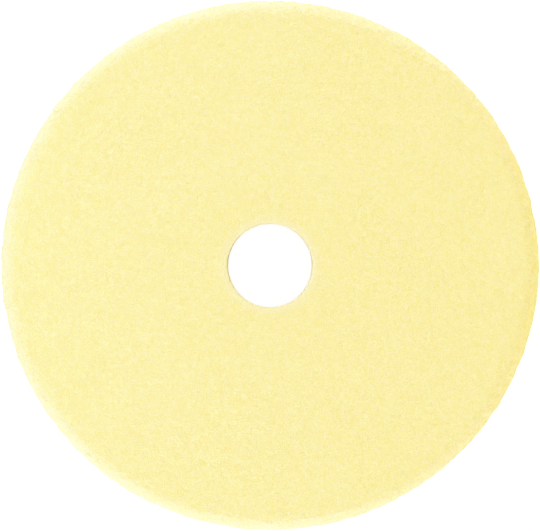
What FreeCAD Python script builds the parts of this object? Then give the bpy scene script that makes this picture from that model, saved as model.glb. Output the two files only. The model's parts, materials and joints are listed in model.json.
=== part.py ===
import FreeCAD, Part

# Round foam polishing pad with a hook-and-loop backing, in millimetres.
#
# The pad is a laminate of four pieces on one vertical axis, with one hole through all of them:
#
#   foam_body           open-cell foam, the working piece: flat face up, rounded rim, sides that lean in
#                       towards the back
#   adhesive_film       hot-melt film that bonds the fabric to the foam
#   loop_fabric_ground  the knitted ground of the loop fabric
#   loop_pile           the raised loops, which the hooks of a backing plate catch
#
# The pad lies on its loops. The origin is on the pad's axis, in the plane of the loop tips, and +Z points
# out of the working face.

import math
import os

# Driving dimensions
PAD_DIAMETER = 150.0        # at the widest point, just under the working face
TOTAL_HEIGHT = 25.0         # loop tips to working face
HOLE_DIAMETER = 23.6        # through every layer
RIM_RADIUS = 4.5            # rounding between the working face and the side
SIDE_LEAN_DEG = 20.0        # the side leans in towards the back by this angle
HOLE_MOUTH_RADIUS = 0.4     # rounding of the hole's edge at the working face
BACK_EDGE_RADIUS = 0.6      # rounding of the foam's outer edge at the back
FILM_THICKNESS = 0.2
GROUND_THICKNESS = 0.6
PILE_HEIGHT = 1.6
FABRIC_INSET = 0.4          # the fabric is cut this much smaller than the foam's flat back, all round

# Heights of the layers, from the loop tips up
GROUND_BOTTOM = PILE_HEIGHT
FILM_BOTTOM = GROUND_BOTTOM + GROUND_THICKNESS
FOAM_BOTTOM = FILM_BOTTOM + FILM_THICKNESS

HOLE_RADIUS = HOLE_DIAMETER / 2
AXIS = FreeCAD.Vector(0, 0, 1)
ORIGIN = FreeCAD.Vector(0, 0, 0)


def at(radius, height):
    """A point of a section, in the plane through the pad's axis."""
    return FreeCAD.Vector(radius, 0, height)


def on_arc(centre, radius, angle_deg):
    """A point of a section's arc; 0 degrees points away from the axis and 90 degrees points up."""
    angle = math.radians(angle_deg)
    return centre + FreeCAD.Vector(radius * math.cos(angle), 0, radius * math.sin(angle))


def arc(centre, radius, start_deg, end_deg):
    """An arc edge of a section, with its two end points."""
    start = on_arc(centre, radius, start_deg)
    middle = on_arc(centre, radius, (start_deg + end_deg) / 2)
    end = on_arc(centre, radius, end_deg)
    return Part.Arc(start, middle, end).toShape(), start, end


def line(start, end):
    return Part.makeLine(start, end)


def turned(edges):
    """The solid that a closed section makes when it is turned once round the axis."""
    face = Part.Face(Part.Wire(edges))
    return face.revolve(ORIGIN, AXIS, 360)


def ring(inner_radius, outer_radius, bottom, top):
    """A flat washer-shaped layer."""
    outer = Part.makeCylinder(outer_radius, top - bottom, at(0, bottom))
    hole = Part.makeCylinder(inner_radius, top - bottom, at(0, bottom))
    return outer.cut(hole)


def rim_centre():
    """Centre of the rim's rounding. The arc is widest where it is level with this point."""
    return at(PAD_DIAMETER / 2 - RIM_RADIUS, TOTAL_HEIGHT - RIM_RADIUS)


def side_radius(height):
    """Radius of the leaning side at a height, on the line that leaves the rim's arc along its tangent."""
    lean = math.radians(SIDE_LEAN_DEG)
    start = on_arc(rim_centre(), RIM_RADIUS, -SIDE_LEAN_DEG)
    return start.x - (start.z - height) * math.tan(lean)


def back_edge_centre():
    """Centre of the rounding between the leaning side and the flat back, tangent to both."""
    lean = math.radians(SIDE_LEAN_DEG)
    height = FOAM_BOTTOM + BACK_EDGE_RADIUS
    return at(side_radius(height) - BACK_EDGE_RADIUS / math.cos(lean), height)


def make_foam_body():
    """Foam disc: flat back and face, rounded rim, leaning side, straight hole with a softened mouth."""
    rim, rim_top, _ = arc(rim_centre(), RIM_RADIUS, 90, 0)
    under_rim, _, rim_end = arc(rim_centre(), RIM_RADIUS, 0, -SIDE_LEAN_DEG)
    back, back_side, back_bottom = arc(back_edge_centre(), BACK_EDGE_RADIUS, -SIDE_LEAN_DEG, -90)
    mouth_centre = at(HOLE_RADIUS + HOLE_MOUTH_RADIUS, TOTAL_HEIGHT - HOLE_MOUTH_RADIUS)
    mouth, mouth_wall, mouth_top = arc(mouth_centre, HOLE_MOUTH_RADIUS, 180, 90)
    hole_bottom = at(HOLE_RADIUS, FOAM_BOTTOM)
    return turned([
        line(hole_bottom, mouth_wall),
        mouth,
        line(mouth_top, rim_top),
        rim,
        under_rim,
        line(rim_end, back_side),
        back,
        line(back_bottom, hole_bottom),
    ])


def fabric_radius():
    return back_edge_centre().x - FABRIC_INSET


def make_adhesive_film():
    return ring(HOLE_RADIUS, fabric_radius(), FILM_BOTTOM, FOAM_BOTTOM)


def make_loop_fabric_ground():
    return ring(HOLE_RADIUS, fabric_radius(), GROUND_BOTTOM, FILM_BOTTOM)


def make_loop_pile():
    """The space that the loops fill, from the ground to their tips."""
    return ring(HOLE_RADIUS, fabric_radius(), 0, GROUND_BOTTOM)


PARTS = {
    "foam_body": make_foam_body,
    "adhesive_film": make_adhesive_film,
    "loop_fabric_ground": make_loop_fabric_ground,
    "loop_pile": make_loop_pile,
}


def main():
    os.makedirs("parts", exist_ok=True)
    for name, make in PARTS.items():
        solid = make()
        solid.exportStep("parts/" + name + ".step")
        box = solid.optimalBoundingBox()
        print(f"{name}: valid {solid.isValid()}, volume {solid.Volume / 1000:.2f} cm3, "
              f"radius {box.XMax:.2f}, height {box.ZMin:.2f} to {box.ZMax:.2f}")


main()
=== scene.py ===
import json
import math

import bpy
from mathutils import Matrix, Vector


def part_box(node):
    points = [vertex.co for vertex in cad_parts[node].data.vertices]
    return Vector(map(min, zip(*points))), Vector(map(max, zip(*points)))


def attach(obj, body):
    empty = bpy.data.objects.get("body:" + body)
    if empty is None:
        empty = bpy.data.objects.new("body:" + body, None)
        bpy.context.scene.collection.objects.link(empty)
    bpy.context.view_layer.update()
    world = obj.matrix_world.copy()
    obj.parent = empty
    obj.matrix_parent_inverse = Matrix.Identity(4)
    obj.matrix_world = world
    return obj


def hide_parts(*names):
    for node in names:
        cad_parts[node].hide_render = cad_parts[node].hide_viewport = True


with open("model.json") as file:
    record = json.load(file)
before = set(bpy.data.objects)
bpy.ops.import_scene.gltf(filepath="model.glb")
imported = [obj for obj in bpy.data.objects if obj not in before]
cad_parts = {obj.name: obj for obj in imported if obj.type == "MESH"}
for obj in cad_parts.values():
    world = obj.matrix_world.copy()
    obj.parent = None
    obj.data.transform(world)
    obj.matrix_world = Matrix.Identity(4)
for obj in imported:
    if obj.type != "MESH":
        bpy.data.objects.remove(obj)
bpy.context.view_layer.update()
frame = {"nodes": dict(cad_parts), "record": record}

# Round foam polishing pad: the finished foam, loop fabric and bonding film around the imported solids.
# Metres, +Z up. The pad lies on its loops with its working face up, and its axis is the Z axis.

nodes_by_name = frame["nodes"]
mounts = {mount["name"]: mount for mount in frame["record"]["mounts"]}

# ---- sizes ----

MM = 0.001
foam_low, foam_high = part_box("foam_body")
ground_low, ground_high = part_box("loop_fabric_ground")
pile_low, pile_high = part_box("loop_pile")
pad_radius = foam_high.x
face_height = foam_high.z
foam_bottom = foam_low.z
fabric_radius = ground_high.x
hole_radius = mounts["centre_hole"]["dims"]["r_mm"] * MM

MERGE_DISTANCE = 0.01 * MM      # points closer than this are one point
RING_REACH = 0.05 * MM          # how near to a ring its edges are looked for

FOAM_SIDES = 256                # sides of the circle that the foam is drawn from
RIM_RADIUS = 4.5 * MM           # rounding between the working face and the side
RIM_STEPS = 12
SIDE_LEAN = math.radians(20)    # the side leans in towards the back
MOUTH_RADIUS = 0.4 * MM         # rounding of the hole's edge
MOUTH_STEPS = 6
BACK_EDGE_RADIUS = 0.6 * MM
BACK_EDGE_STEPS = 3
HOLE_EASE = 0.05 * MM           # the hole starts this much wider, because its torn wall stands proud
HOLE_UNDERCUT = 0.35 * MM       # the hole widens this much towards the back, as a die cuts squeezed foam
FOAM_MESH = 0.36 * MM           # distance between the points of the foam's skin
OUT_OF_ROUND = 0.0075           # cut foam is this much wider along X and narrower along Y
FOAM_RELIEF = (                 # texture, kind, feature size, height
    ("soft_waves", "CLOUDS", 16 * MM, 0.25 * MM),
    ("torn_cells", "CLOUDS", 1.3 * MM, 0.32 * MM),
    ("open_cells", "VORONOI", 0.8 * MM, 0.16 * MM),
)
RIM_NIBBLES = ("nibbled_rim", "CLOUDS", 3.2 * MM, 0.7 * MM)
NIBBLED_BAND = 1.5 * MM         # how far in from the widest place the rim is nibbled

FABRIC_SIDES = 512
EDGE_FRAY = 0.35 * MM           # unevenness of the fabric's cut edge
FRAY_SIZE = 1.6 * MM
LOOP_PITCH = 1.0 * MM           # distance between neighbouring loops, along and across
LOOP_RADIUS = 0.46 * MM         # half the width of a loop
YARN_RADIUS = 0.16 * MM
YARN_SIDES = 4
LOOP_STEPS = 6                  # pieces that a loop's half turn is divided into
LOOP_POINTS = YARN_SIDES * (LOOP_STEPS + 1)
FOOT_NARROWING = 0.5            # a loop's feet stand this much closer together than its widest place
ROOT_DEPTH = 0.2 * MM           # how far a loop's feet are sunk into the knitted ground
LOOP_TURNS = (10, 75, -40, 120)  # degrees, how the four loops of one group are turned
LOOP_PIECES = 4                 # the pile is made as this many pieces, which take its double rows in turn
HOLE_MARGIN = 2.5 * LOOP_RADIUS # no loop's middle is nearer than this to the hole
EDGE_MARGIN = LOOP_RADIUS / 2   # no loop's middle is nearer than this to the fabric's outer edge
LOOP_LEAN = 1.5 * MM            # how far the tips are brushed to and fro
BRUSH_SIZE = 3.5 * MM           # size of the patches that are brushed one way
LOOP_TANGLE = LOOP_LEAN / 2     # how far single tips stray from their patch
TANGLE_SIZE = 1.1 * MM


# ---- working helpers ----

def deselect_all():
    if bpy.context.object and bpy.context.object.mode != "OBJECT":
        bpy.ops.object.mode_set(mode="OBJECT")
    bpy.ops.object.select_all(action="DESELECT")


def take(piece):
    """Makes one piece the only selected and active one."""
    deselect_all()
    piece.select_set(True)
    bpy.context.view_layer.objects.active = piece


def edit(piece):
    take(piece)
    bpy.ops.object.mode_set(mode="EDIT")


def edit_all(piece):
    edit(piece)
    bpy.ops.mesh.select_all(action="SELECT")


def leave_edit():
    bpy.ops.object.mode_set(mode="OBJECT")


def select_only(piece, kind, is_chosen):
    """Selects only the points (VERT) or edges (EDGE) that the test picks, and stays in edit mode."""
    edit(piece)
    bpy.ops.mesh.select_mode(type=kind)
    bpy.ops.mesh.select_all(action="DESELECT")
    leave_edit()
    parts = piece.data.vertices if kind == "VERT" else piece.data.edges
    for part in parts:
        part.select = is_chosen(part)
    bpy.ops.object.mode_set(mode="EDIT")


def apply_modifiers(piece):
    take(piece)
    for modifier in list(piece.modifiers):
        bpy.ops.object.modifier_apply(modifier=modifier.name)


def name_piece(piece, name):
    piece.name = name
    piece.data.name = name


def add_points_group(piece, name, is_chosen):
    """A vertex group of the points that the test picks."""
    group = piece.vertex_groups.new(name=name)
    group.add([v.index for v in piece.data.vertices if is_chosen(v)], 1, "REPLACE")
    return group


def new_ring(name, radius, height, sides):
    """A bare circle of edges in edit mode, all selected, ready to be extruded ring by ring."""
    deselect_all()
    bpy.ops.mesh.primitive_circle_add(vertices=sides, radius=radius, location=(0, 0, height))
    ring = bpy.context.object
    name_piece(ring, name)
    bpy.ops.object.transform_apply(location=True, rotation=True, scale=True)
    edit_all(ring)
    return ring


def extrude_ring(from_radius, to_radius, rise):
    """Extrudes the selected ring, lifts the new one by rise and brings it from one radius to the other."""
    scale = to_radius / from_radius
    bpy.ops.mesh.extrude_region_move(TRANSFORM_OT_translate={"value": (0, 0, rise)})
    bpy.ops.transform.resize(value=(scale, scale, 1), center_override=(0, 0, 0))


def turned_piece(name, section, sides):
    """A closed piece: a section's corners (radius, height) taken once round the axis. Stays in edit mode."""
    radius, height = section[0]
    piece = new_ring(name, radius, height, sides)
    for next_radius, next_height in (*section[1:], section[0]):
        extrude_ring(radius, next_radius, next_height - height)
        radius, height = next_radius, next_height
    bpy.ops.mesh.select_all(action="SELECT")
    bpy.ops.mesh.remove_doubles(threshold=MERGE_DISTANCE)
    bpy.ops.mesh.normals_make_consistent(inside=False)
    return piece


def round_ring(piece, radius, height, rounding, steps):
    """Rounds the ring of edges at that radius and height. Stays in edit mode."""
    def on_ring(index):
        point = piece.data.vertices[index].co
        return abs(math.hypot(point.x, point.y) - radius) < RING_REACH and abs(point.z - height) < RING_REACH

    select_only(piece, "EDGE", lambda edge: all(on_ring(index) for index in edge.vertices))
    bpy.ops.mesh.bevel(offset=rounding, segments=steps, affect="EDGES")


def add_displace(piece, name, kind, size, height, group, direction="NORMAL"):
    """Moves the points of a vertex group along a direction by a solid texture."""
    texture = bpy.data.textures.new(name, kind)
    texture.noise_scale = size
    displace = piece.modifiers.new(name, "DISPLACE")
    displace.texture = texture
    displace.texture_coords = "LOCAL"
    displace.strength = height
    displace.direction = direction
    displace.vertex_group = group.name


# ---- foam body ----

def make_foam_body():
    """The foam disc: undercut hole, flat face, rounded rim, side that leans in to a flat back.

    It is drawn with sharp corners first. The rim's rounding starts rim_setback away from its corner.
    """
    corner_angle = math.pi / 2 - SIDE_LEAN
    rim_setback = RIM_RADIUS / math.tan(corner_angle / 2)
    corner_radius = pad_radius - RIM_RADIUS + rim_setback
    back_radius = corner_radius - (face_height - foam_bottom) * math.tan(SIDE_LEAN)
    mouth_radius = hole_radius + HOLE_EASE
    wall_radius = mouth_radius + HOLE_UNDERCUT
    section = (
        (mouth_radius, face_height),
        (corner_radius, face_height),
        (back_radius, foam_bottom),
        (wall_radius, foam_bottom),
    )
    foam = turned_piece("foam_pad", section, FOAM_SIDES)
    round_ring(foam, corner_radius, face_height, rim_setback, RIM_STEPS)
    round_ring(foam, mouth_radius, face_height, MOUTH_RADIUS, MOUTH_STEPS)
    round_ring(foam, back_radius, foam_bottom, BACK_EDGE_RADIUS, BACK_EDGE_STEPS)
    bpy.ops.mesh.select_all(action="SELECT")
    bpy.ops.transform.resize(value=(1 + OUT_OF_ROUND, 1 - OUT_OF_ROUND, 1), center_override=(0, 0, 0))
    leave_edit()
    skin = foam.modifiers.new("even_skin", "REMESH")
    skin.mode = "VOXEL"
    skin.voxel_size = FOAM_MESH
    skin.use_smooth_shade = True
    apply_modifiers(foam)
    return foam


def roughen_foam(foam):
    """Soft waves and torn cells all over, apart from the back, which the film holds flat."""
    lowest = foam_bottom + FOAM_MESH
    open_surface = add_points_group(foam, "open_surface", lambda v: v.co.z > lowest)
    for name, kind, size, height in FOAM_RELIEF:
        add_displace(foam, name, kind, size, height, open_surface)
    inside = pad_radius - NIBBLED_BAND
    widest_place = add_points_group(foam, "widest_place", lambda v: math.hypot(v.co.x, v.co.y) > inside)
    name, kind, size, height = RIM_NIBBLES
    add_displace(foam, name, kind, size, height, widest_place)
    apply_modifiers(foam)


# ---- loop fabric ----

def make_loop_fabric_ground():
    """The knitted ground: a thin ring. All its points lie on its cut edges, which are slightly uneven."""
    cut_radius = hole_radius + EDGE_FRAY
    section = (
        (cut_radius, ground_high.z),
        (fabric_radius, ground_high.z),
        (fabric_radius, ground_low.z),
        (cut_radius, ground_low.z),
    )
    ground = turned_piece("knitted_ground", section, FABRIC_SIDES)
    leave_edit()
    cut_edge = add_points_group(ground, "cut_edge", lambda v: True)
    for axis in "XY":
        add_displace(ground, "fray_" + axis, "CLOUDS", FRAY_SIZE, EDGE_FRAY, cut_edge, axis)
    apply_modifiers(ground)
    return ground


def make_one_loop():
    """One yarn loop: a thin yarn swept over half a turn, its feet drawn up into the ground."""
    tip_height = pile_low.z + LOOP_RADIUS + YARN_RADIUS
    deselect_all()
    bpy.ops.mesh.primitive_circle_add(vertices=YARN_SIDES, radius=YARN_RADIUS, fill_type="NGON")
    loop = bpy.context.object
    name_piece(loop, "yarn_loop")
    edit_all(loop)
    bpy.ops.transform.translate(value=(LOOP_RADIUS, 0, 0))
    bpy.ops.mesh.spin(steps=LOOP_STEPS, angle=-math.pi, center=(0, 0, 0), axis=(0, 1, 0))
    bpy.ops.mesh.select_all(action="SELECT")
    bpy.ops.mesh.normals_make_consistent(inside=False)
    bpy.ops.transform.translate(value=(0, 0, tip_height))
    leave_edit()
    feet = {v.index for v in loop.data.vertices if abs(v.co.z - tip_height) < MERGE_DISTANCE}
    select_only(loop, "VERT", lambda v: v.index in feet)
    bpy.ops.transform.translate(value=(0, 0, pile_high.z + ROOT_DEPTH - tip_height))
    bpy.ops.transform.resize(value=(FOOT_NARROWING, 1, 1), center_override=(0, 0, 0))
    leave_edit()
    bpy.ops.object.shade_smooth()
    add_points_group(loop, "tips", lambda v: v.index not in feet)
    return loop


def make_loop_group():
    """Four loops, turned differently, on the corners of a square."""
    loops = []
    for corner, degrees in enumerate(LOOP_TURNS):
        loop = make_one_loop()
        edit_all(loop)
        angle = math.radians(degrees)
        bpy.ops.transform.rotate(value=angle, orient_axis="Z", center_override=(0, 0, 0))
        bpy.ops.transform.translate(value=((corner % 2) * LOOP_PITCH, (corner // 2) * LOOP_PITCH, 0))
        leave_edit()
        loops.append(loop)
    take(loops[0])
    for loop in loops[1:]:
        loop.select_set(True)
    bpy.ops.object.join()
    return loops[0]


def make_loop_rows(number):
    """One piece's double rows of loops, cut to the shape of the fabric, with the tips brushed in patches."""
    step = 2 * LOOP_PITCH
    half_count = math.ceil(fabric_radius / step)
    rows = make_loop_group()
    name_piece(rows, f"pile_loops_{number + 1}")
    edit_all(rows)
    bpy.ops.transform.translate(value=(-half_count * step, (number - half_count) * step, 0))
    leave_edit()
    along = (0, step, 2 * half_count)
    across = (1, LOOP_PIECES * step, math.ceil(2 * half_count / LOOP_PIECES))
    for axis, distance, count in (along, across):
        repeat = rows.modifiers.new("repeat", "ARRAY")
        repeat.count = count
        repeat.use_relative_offset = False
        repeat.use_constant_offset = True
        offset = [0, 0, 0]
        offset[axis] = distance
        repeat.constant_offset_displace = offset
    apply_modifiers(rows)
    drop_loops_outside_fabric(rows)
    tips = rows.vertex_groups["tips"]
    for axis in "XY":
        add_displace(rows, "brushed_" + axis, "CLOUDS", BRUSH_SIZE, LOOP_LEAN, tips, axis)
        add_displace(rows, "tangled_" + axis, "CLOUDS", TANGLE_SIZE, LOOP_TANGLE, tips, axis)
    apply_modifiers(rows)
    return rows


def drop_loops_outside_fabric(rows):
    """Deletes every loop whose middle is off the fabric. The points of one loop follow each other."""
    inner = hole_radius + HOLE_MARGIN
    outer = fabric_radius - EDGE_MARGIN
    vertices = rows.data.vertices
    outside = set()
    for start in range(0, len(vertices), LOOP_POINTS):
        loop = range(start, start + LOOP_POINTS)
        middle = sum((vertices[index].co for index in loop), Vector()) / LOOP_POINTS
        if not inner < math.hypot(middle.x, middle.y) < outer:
            outside.update(loop)
    select_only(rows, "VERT", lambda v: v.index in outside)
    bpy.ops.mesh.delete(type="VERT")
    leave_edit()


foam = make_foam_body()
roughen_foam(foam)
ground = make_loop_fabric_ground()
loop_rows = [make_loop_rows(number) for number in range(LOOP_PIECES)]


# ---- material values ----

# Colours, as linear red, green and blue
# PIT_YELLOW is the dark end of the foam's tone: painted shade in the open cells' pits, together with the
# grain's random darker tone
PIT_YELLOW = (0.90, 0.787, 0.178)
WALL_YELLOW = (1.0, 0.864, 0.400)
# PALE_PIT_YELLOW and PALE_WALL_YELLOW: the rim's paler foam, partly the ground edge's own cut cells and
# partly a painted sheen
PALE_PIT_YELLOW = (0.90, 0.74, 0.21)
PALE_WALL_YELLOW = (0.98, 0.835, 0.43)
# MOUTH_YELLOW: painted light, a paler ring that lifts the hole's rounded edge where less light reaches it
MOUTH_YELLOW = (0.97, 0.86, 0.47)
WARM_YELLOW = (0.97, 0.815, 0.29)
FILM_DULL = (0.74, 0.71, 0.58)
FILM_MILKY = (0.86, 0.85, 0.78)
GROUND_SHADE = (0.84, 0.77, 0.61)
GROUND_CREAM = (0.96, 0.91, 0.78)
YARN_SHADE = (0.88, 0.80, 0.60)
YARN_CREAM = (0.99, 0.94, 0.80)

# Noises: features per millimetre, detail, roughness
FOAM_GRAIN = (0.75, 3, 0.7)
FOAM_CLOUDS = (0.05, 2, 0.5)
FOAM_WARMTH = (0.55, 2, 0.6)
FILM_FLOW = (0.6, 3, 0.6)
CELL_WANDER = (1.1, 1, 0.5)

# Detail and roughness of the fuzz's noises, whose scale each material sets
FUZZ_PATCHES = (3, 0.6)
FUZZ_FIBRES = (2, 0.6)

# Spreads: the part of a noise that is drawn out from 0 to 1
GRAIN_SPREAD = (0.3, 0.7)
WARMTH_SPREAD = (0.45, 0.8)
FLOW_SPREAD = (0.2, 0.8)
FILM_ROUGHNESS = (0.3, 0.55)

# Foam cells, and what each pattern adds to the foam's tone, from pit to wall
CELL_SIZE = 0.34
CELL_IRREGULARITY = 0.25
PIT_EDGE = (0.2, 0.68)          # a cell's wall rises between these shares of its size
WALL_TONE = 0.7
GRAIN_TONE = 0.45
CLOUD_TONE = 0.25

# Bands on the foam in millimetres: where the mask starts, and where it is full
RIM_BAND = (1.0, 3.6)           # outwards from the start of the rim's rounding
MOUTH_BAND = (3.8, 1.0)         # outwards from the hole
FACE_BAND = (-2.5, -0.8)        # upwards from the working face
BAND_WAVER = 1.2                # how far the grain moves the bands
MOUTH_STRENGTH = 0.55

# Knit of the ground: ridges in radians per millimetre, and shares of its depth and tone
WALES = 4.5
COURSES = 3.4
COURSE_DEPTH = 0.6
FIBRE_DEPTH = 0.5
KNIT_TONE = 0.5
FUZZ_TONE = 0.6

# Heights of the fine relief that bump gives
FOAM_BUMP = 0.18 * MM
GRAIN_HEIGHT = 0.8              # the grain's height against the cells'
FILM_BUMP = 0.05 * MM
KNIT_BUMP = 0.12 * MM
YARN_BUMP = 0.03 * MM


# ---- material helpers ----

def new_material(name):
    material = bpy.data.materials.new(name)
    material.use_nodes = True
    material.node_tree.nodes.clear()
    return material


def put(material, piece):
    piece.data.materials.clear()
    piece.data.materials.append(material)


def link(tree, source, target):
    tree.links.new(source, target)


def set_input(tree, socket, value):
    """Gives a socket its value: a number, a vector, a colour, or the output that it is linked to."""
    if isinstance(value, bpy.types.NodeSocket):
        link(tree, value, socket)
    elif socket.type == "RGBA":
        socket.default_value = (*value, 1)
    else:
        socket.default_value = value


def math_node(tree, operation, *values):
    node = tree.nodes.new("ShaderNodeMath")
    node.operation = operation
    for socket, value in zip(node.inputs, values):
        set_input(tree, socket, value)
    return node.outputs[0]


def add_share(tree, base, value, share):
    """The base, with that share of the value added."""
    return math_node(tree, "MULTIPLY_ADD", value, share, base)


def vector_node(tree, operation, *values, output="Vector"):
    node = tree.nodes.new("ShaderNodeVectorMath")
    node.operation = operation
    for socket, value in zip(node.inputs, values):
        set_input(tree, socket, value)
    return node.outputs[output]


def scaled(tree, vector, factor):
    node = tree.nodes.new("ShaderNodeVectorMath")
    node.operation = "SCALE"
    set_input(tree, node.inputs[0], vector)
    set_input(tree, node.inputs["Scale"], factor)
    return node.outputs[0]


def coordinates(tree, place):
    """The X, Y and Z of a place."""
    node = tree.nodes.new("ShaderNodeSeparateXYZ")
    link(tree, place, node.inputs[0])
    return node.outputs["X"], node.outputs["Y"], node.outputs["Z"]


def in_millimetres(tree):
    """Object coordinates, in millimetres."""
    place = tree.nodes.new("ShaderNodeTexCoord")
    return scaled(tree, place.outputs["Object"], 1 / MM)


def distance_from_axis(tree, place):
    """Distance from the pad's axis, evened out for the cut foam's slightly oval shape."""
    flat = vector_node(tree, "MULTIPLY", place, (1 - OUT_OF_ROUND, 1 + OUT_OF_ROUND, 0))
    return vector_node(tree, "LENGTH", flat, output="Value")


def noise(tree, place, scale, detail, roughness, output="Fac"):
    node = tree.nodes.new("ShaderNodeTexNoise")
    values = {"Vector": place, "Scale": scale, "Detail": detail, "Roughness": roughness}
    for label, value in values.items():
        set_input(tree, node.inputs[label], value)
    return node.outputs[output]


def ramp(tree, value, low, high, to_low=0, to_high=1):
    """Maps low..high smoothly to to_low..to_high."""
    node = tree.nodes.new("ShaderNodeMapRange")
    node.interpolation_type = "SMOOTHSTEP"
    values = {"Value": value, "From Min": low, "From Max": high, "To Min": to_low, "To Max": to_high}
    for label, value in values.items():
        set_input(tree, node.inputs[label], value)
    return node.outputs[0]


def ridges(tree, value, frequency):
    """Rounded ridges along a direction: 0 between them and 1 on their tops."""
    turn = math_node(tree, "MULTIPLY", value, frequency)
    return math_node(tree, "ABSOLUTE", math_node(tree, "SINE", turn))


def mix_colour(tree, factor, first, second):
    node = tree.nodes.new("ShaderNodeMix")
    node.data_type = "RGBA"
    colours = [socket for socket in node.inputs if socket.type == "RGBA"]
    set_input(tree, node.inputs[0], factor)
    set_input(tree, colours[0], first)
    set_input(tree, colours[1], second)
    return next(socket for socket in node.outputs if socket.type == "RGBA")


def bump(tree, height, distance):
    node = tree.nodes.new("ShaderNodeBump")
    set_input(tree, node.inputs["Strength"], 1)
    set_input(tree, node.inputs["Distance"], distance)
    set_input(tree, node.inputs["Height"], height)
    return node.outputs[0]


def surface(tree, **values):
    """The material's own shader, joined to its output. Its sockets are named with underscores for spaces."""
    shader = tree.nodes.new("ShaderNodeBsdfPrincipled")
    out = tree.nodes.new("ShaderNodeOutputMaterial")
    for label, value in values.items():
        set_input(tree, shader.inputs[label.replace("_", " ")], value)
    link(tree, shader.outputs[0], out.inputs["Surface"])


# ---- shared effects ----

def new_group(name, inputs, outputs):
    """A shader node group with a Vector input, number inputs {name: value} and number outputs."""
    tree = bpy.data.node_groups.new(name, "ShaderNodeTree")
    tree.interface.new_socket("Vector", in_out="INPUT", socket_type="NodeSocketVector")
    for label, value in inputs.items():
        socket = tree.interface.new_socket(label, in_out="INPUT", socket_type="NodeSocketFloat")
        socket.default_value = value
    for label in outputs:
        tree.interface.new_socket(label, in_out="OUTPUT", socket_type="NodeSocketFloat")
    return tree, tree.nodes.new("NodeGroupInput").outputs, tree.nodes.new("NodeGroupOutput").inputs


def use_group(tree, group, place, **values):
    """Places a group in a material. Its inputs are named with underscores for spaces."""
    node = tree.nodes.new("ShaderNodeGroup")
    node.node_tree = group
    link(tree, place, node.inputs["Vector"])
    for label, value in values.items():
        set_input(tree, node.inputs[label.replace("_", " ")], value)
    return node.outputs


def cells_group():
    """Open cells: round pits between thin walls. Walls is 0 in a pit and 1 on a wall."""
    tree, given, result = new_group("open_cells", {"Cell Size": 0.45, "Irregularity": 0.3},
                                    ("Walls", "Height"))
    wander = noise(tree, given["Vector"], *CELL_WANDER, output="Color")
    to_and_fro = vector_node(tree, "SUBTRACT", wander, (0.5, 0.5, 0.5))
    shift = scaled(tree, to_and_fro, given["Irregularity"])
    cells = tree.nodes.new("ShaderNodeTexVoronoi")
    cells.feature = "F1"
    set_input(tree, cells.inputs["Vector"], vector_node(tree, "ADD", given["Vector"], shift))
    set_input(tree, cells.inputs["Scale"], math_node(tree, "DIVIDE", 1, given["Cell Size"]))
    distance = cells.outputs["Distance"]
    link(tree, ramp(tree, distance, *PIT_EDGE), result["Walls"])
    link(tree, distance, result["Height"])
    return tree


def fuzz_group():
    """Fuzz of yarn: patches of tone, and the single fibres over them."""
    tree, given, result = new_group("fibre_fuzz",
                                    {"Patch Size": 1.25, "Fibre Size": 0.11, "Fibre Share": 0.45},
                                    ("Tone", "Fibres"))
    patch_scale = math_node(tree, "DIVIDE", 1, given["Patch Size"])
    fibre_scale = math_node(tree, "DIVIDE", 1, given["Fibre Size"])
    patches = noise(tree, given["Vector"], patch_scale, *FUZZ_PATCHES)
    fibres = noise(tree, given["Vector"], fibre_scale, *FUZZ_FIBRES)
    step = math_node(tree, "SUBTRACT", fibres, patches)
    link(tree, add_share(tree, patches, step, given["Fibre Share"]), result["Tone"])
    link(tree, fibres, result["Fibres"])
    return tree


# ---- materials ----

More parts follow.
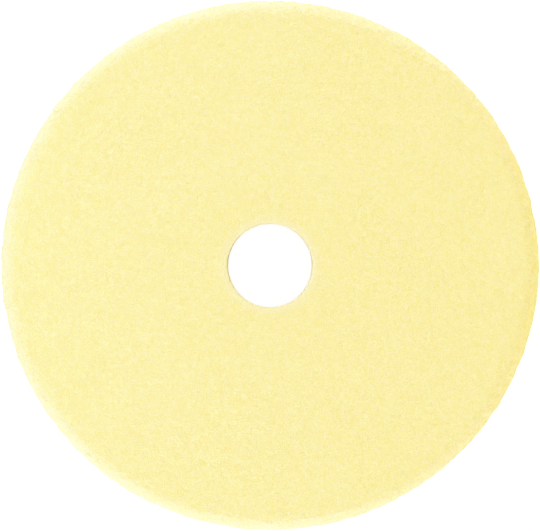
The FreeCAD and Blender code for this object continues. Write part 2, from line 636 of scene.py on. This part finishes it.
def foam_material(cells):
    """Pale yellow foam with a random grain. Its pits are painted a deeper yellow than their walls, as
    painted shade in the open cells. The rim is painted paler, partly for its ground cut cells and partly as
    a painted sheen. The hole's edge is painted paler as painted light, where its rounding gets less light.
    """
    material = new_material("yellow_open_cell_foam")
    tree = material.node_tree
    place = in_millimetres(tree)
    fine = use_group(tree, cells, place, Cell_Size=CELL_SIZE, Irregularity=CELL_IRREGULARITY)
    coarse = noise(tree, place, *FOAM_GRAIN)
    cloudy = noise(tree, place, *FOAM_CLOUDS)

    # The pits are painted a deeper yellow than the walls: painted shade in the open cells
    walls = math_node(tree, "MULTIPLY", fine["Walls"], WALL_TONE)
    grain = add_share(tree, walls, ramp(tree, coarse, *GRAIN_SPREAD), GRAIN_TONE)
    tone = add_share(tree, grain, math_node(tree, "SUBTRACT", cloudy, 0.5), CLOUD_TONE)
    warmth = ramp(tree, noise(tree, place, *FOAM_WARMTH), *WARMTH_SPREAD)
    colour = mix_colour(tree, tone, PIT_YELLOW, WALL_YELLOW)
    colour = mix_colour(tree, warmth, colour, WARM_YELLOW)

    # Paler band round the rim: partly the ground edge's own cut cells, partly a painted sheen
    from_axis = add_share(tree, distance_from_axis(tree, place), coarse, BAND_WAVER)
    rim_start = (pad_radius - RIM_RADIUS) / MM
    rim = ramp(tree, from_axis, *(rim_start + edge for edge in RIM_BAND))
    pale = mix_colour(tree, tone, PALE_PIT_YELLOW, PALE_WALL_YELLOW)
    colour = mix_colour(tree, rim, colour, pale)

    # Paler ring round the hole, near the face: painted light where the rounded edge gets less light
    _, _, height = coordinates(tree, place)
    mouth = ramp(tree, from_axis, *(hole_radius / MM + edge for edge in MOUTH_BAND))
    near_face = ramp(tree, height, *(face_height / MM + edge for edge in FACE_BAND))
    mouth_painted_light = math_node(tree, "MULTIPLY", math_node(tree, "MULTIPLY", mouth, near_face), MOUTH_STRENGTH)
    colour = mix_colour(tree, mouth_painted_light, colour, MOUTH_YELLOW)

    relief = add_share(tree, fine["Height"], coarse, GRAIN_HEIGHT)
    surface(tree, Base_Color=colour, Normal=bump(tree, relief, FOAM_BUMP), Roughness=0.92,
            Specular_IOR_Level=0.2, Sheen_Weight=0.15, Sheen_Roughness=0.6)
    return material


def film_material():
    """Milky hot-melt film with a faint flow pattern."""
    material = new_material("milky_bonding_film")
    tree = material.node_tree
    flow = noise(tree, in_millimetres(tree), *FILM_FLOW)
    roughness = ramp(tree, flow, *FLOW_SPREAD, *FILM_ROUGHNESS)
    surface(tree, Base_Color=mix_colour(tree, flow, FILM_DULL, FILM_MILKY), Roughness=roughness,
            Normal=bump(tree, flow, FILM_BUMP), Specular_IOR_Level=0.5)
    return material


def ground_material(fuzz):
    """Warp-knitted ground: fine upright wales crossed by courses."""
    material = new_material("knitted_white_ground")
    tree = material.node_tree
    place = in_millimetres(tree)
    across, along, _ = coordinates(tree, place)
    course = add_share(tree, 1 - COURSE_DEPTH, ridges(tree, along, COURSES), COURSE_DEPTH)
    knit = math_node(tree, "MULTIPLY", ridges(tree, across, WALES), course)
    yarn = use_group(tree, fuzz, place, Patch_Size=1.4, Fibre_Size=0.25, Fibre_Share=0.7)
    relief = add_share(tree, knit, yarn["Fibres"], FIBRE_DEPTH)
    tone = add_share(tree, math_node(tree, "MULTIPLY", knit, KNIT_TONE), yarn["Tone"], FUZZ_TONE)
    surface(tree, Base_Color=mix_colour(tree, tone, GROUND_SHADE, GROUND_CREAM),
            Normal=bump(tree, relief, KNIT_BUMP), Roughness=0.85, Sheen_Weight=0.2)
    return material


def pile_material(fuzz):
    """Off-white polyamide loops: slightly glossy, a little see-through, no two quite the same."""
    material = new_material("white_yarn_loops")
    tree = material.node_tree
    place = in_millimetres(tree)
    yarn = use_group(tree, fuzz, place, Patch_Size=1.25, Fibre_Size=0.11, Fibre_Share=0.45)
    surface(tree, Base_Color=mix_colour(tree, yarn["Tone"], YARN_SHADE, YARN_CREAM),
            Normal=bump(tree, yarn["Fibres"], YARN_BUMP), Roughness=0.55, Specular_IOR_Level=0.4,
            Sheen_Weight=0.2, Subsurface_Weight=0.7, Subsurface_Radius=(1, 1, 1),
            Subsurface_Scale=0.4 * MM)
    return material


fuzz = fuzz_group()
yarn_loops = pile_material(fuzz)
put(foam_material(cells_group()), foam)
put(ground_material(fuzz), ground)
for rows in loop_rows:
    put(yarn_loops, rows)
put(film_material(), nodes_by_name["adhesive_film"])


# ---- pieces joined to the pad's body, in place of the hidden imported parts ----

for piece in (foam, ground, *loop_rows):
    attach(piece, "root")
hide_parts("foam_body")
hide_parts("loop_fabric_ground")
for rows in loop_rows:
    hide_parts("loop_pile")


# ---- studio ----

WHITE = (1, 1, 1)
ROOM = 0.24                     # strength of the even light from all round
BACKDROP = 2                    # strength of the white that the camera sees behind the table
TABLE_SIZE = 8                  # metres
TABLE_WHITE = (0.93, 0.93, 0.93)
FLOOR_GLOW = 0.4                # how strongly the table glows for the camera
HOLE_GLOW = 0.58                # the floor under the hole, which less light reaches
HOLE_GLOW_RADIUS = 20 * MM      # the stronger glow ends between this radius and twice as far, under the foam
OVERHEAD = 1.965                # strength of the light from straight above
OVERHEAD_SPREAD = math.radians(10)
SIDE_LIGHTS = (                 # name, direction, elevation, distance, width, height, power, colour
    ("left_light", 180, 18, 0.28, 0.2, 0.08, 0.21, (0.62, 0.68, 1.0)),
    ("far_light", 106, 11, 0.55, 0.32, 0.10, 2.6, (0.66, 0.70, 1.0)),
    ("near_light", -106, 11, 0.55, 0.32, 0.10, 2.6, (0.66, 0.70, 1.0)),
    ("right_light", 0, 9, 0.50, 0.40, 0.08, 0.9, (1.0, 0.95, 0.05)),
)
SENSOR_WIDTH = 36               # millimetres, as LENS is
LENS = 1200                     # long, so that the camera stands about 5 m away
SIGHT_LIMIT = 50                # metres
FRAME_MARGIN = 1.014            # half the view's width against the pad's radius
COMBINED_CURVE = 3              # the tone curve that red, green and blue share
SHOULDER = ((0.6, 0.6), (0.8, 0.77), (0.96, 0.887), (1.08, 0.972), (1.2, 0.992), (1.35, 1.0), (4.0, 1.0))


def add_floor():
    """A white table. It also glows a little for the camera alone, so that it looks pure white."""
    deselect_all()
    bpy.ops.mesh.primitive_plane_add(size=TABLE_SIZE, location=(0, 0, 0))
    floor = bpy.context.object
    name_piece(floor, "studio_floor")
    material = new_material("white_table")
    tree = material.node_tree
    diffuse = tree.nodes.new("ShaderNodeBsdfDiffuse")
    glow = tree.nodes.new("ShaderNodeEmission")
    both = tree.nodes.new("ShaderNodeAddShader")
    out = tree.nodes.new("ShaderNodeOutputMaterial")
    ray = tree.nodes.new("ShaderNodeLightPath")
    from_axis = distance_from_axis(tree, in_millimetres(tree))
    fade_start = HOLE_GLOW_RADIUS / MM
    strength = ramp(tree, from_axis, fade_start, 2 * fade_start, HOLE_GLOW, FLOOR_GLOW)
    seen = math_node(tree, "MULTIPLY", ray.outputs["Is Camera Ray"], strength)
    set_input(tree, diffuse.inputs["Color"], TABLE_WHITE)
    set_input(tree, glow.inputs["Strength"], seen)
    link(tree, diffuse.outputs[0], both.inputs[0])
    link(tree, glow.outputs[0], both.inputs[1])
    link(tree, both.outputs[0], out.inputs["Surface"])
    put(material, floor)


def add_world():
    """A dim, even room, with a white backdrop for the camera alone."""
    world = bpy.data.worlds.new("studio")
    bpy.context.scene.world = world
    world.use_nodes = True
    tree = world.node_tree
    room = tree.nodes["Background"]
    backdrop = tree.nodes.new("ShaderNodeBackground")
    for light, strength in ((room, ROOM), (backdrop, BACKDROP)):
        set_input(tree, light.inputs["Color"], WHITE)
        set_input(tree, light.inputs["Strength"], strength)
    ray = tree.nodes.new("ShaderNodeLightPath")
    mix = tree.nodes.new("ShaderNodeMixShader")
    link(tree, ray.outputs["Is Camera Ray"], mix.inputs["Fac"])
    link(tree, room.outputs[0], mix.inputs[1])
    link(tree, backdrop.outputs[0], mix.inputs[2])
    link(tree, mix.outputs[0], tree.nodes["World Output"].inputs["Surface"])


def add_light(name, kind, energy, location, colour):
    """A light that points at the middle of the working face and isn't seen itself."""
    data = bpy.data.lights.new(name, kind)
    data.energy = energy
    data.color = colour
    light = bpy.data.objects.new(name, data)
    light.location = location
    light.rotation_mode = "QUATERNION"
    light.rotation_quaternion = (Vector((0, 0, face_height)) - Vector(location)).to_track_quat("-Z", "Y")
    light.visible_camera = False
    bpy.context.scene.collection.objects.link(light)
    return light


def add_lights():
    overhead = add_light("overhead_light", "SUN", OVERHEAD, (0, 0, 1), WHITE)
    overhead.data.angle = OVERHEAD_SPREAD
    for name, direction, elevation, distance, width, height, power, colour in SIDE_LIGHTS:
        turn = math.radians(direction)
        lift = math.radians(elevation)
        away = distance * math.cos(lift)
        place = (away * math.cos(turn), away * math.sin(turn), face_height + distance * math.sin(lift))
        light = add_light(name, "AREA", power, place, colour)
        light.data.shape = "RECTANGLE"
        light.data.size = width
        light.data.size_y = height


def add_camera():
    """Straight above the working face and far away, so that the hole's wall stays hidden."""
    data = bpy.data.cameras.new("camera")
    data.lens = LENS
    data.sensor_width = SENSOR_WIDTH
    data.clip_end = SIGHT_LIMIT
    camera = bpy.data.objects.new("camera", data)
    bpy.context.scene.collection.objects.link(camera)
    half_view = pad_radius * FRAME_MARGIN
    distance = half_view / (SENSOR_WIDTH / 2 / LENS)
    camera.location = (0, 0, face_height - RIM_RADIUS + distance)
    bpy.context.scene.camera = camera


def set_tones():
    """A soft shoulder: bright tones press together before they reach white."""
    view = bpy.context.scene.view_settings
    view.view_transform = "Standard"
    view.use_curve_mapping = True
    mapping = view.curve_mapping
    brightest = SHOULDER[-1][0]
    mapping.use_clip = False
    mapping.white_level = (brightest, brightest, brightest)
    curve = mapping.curves[COMBINED_CURVE]
    curve.points[0].location = (0, 0)
    curve.points[-1].location = (1, 1)
    for light, tone in SHOULDER[:-1]:
        curve.points.new(light / brightest, tone)
    mapping.update()


add_floor()
add_world()
add_lights()
add_camera()
set_tones()
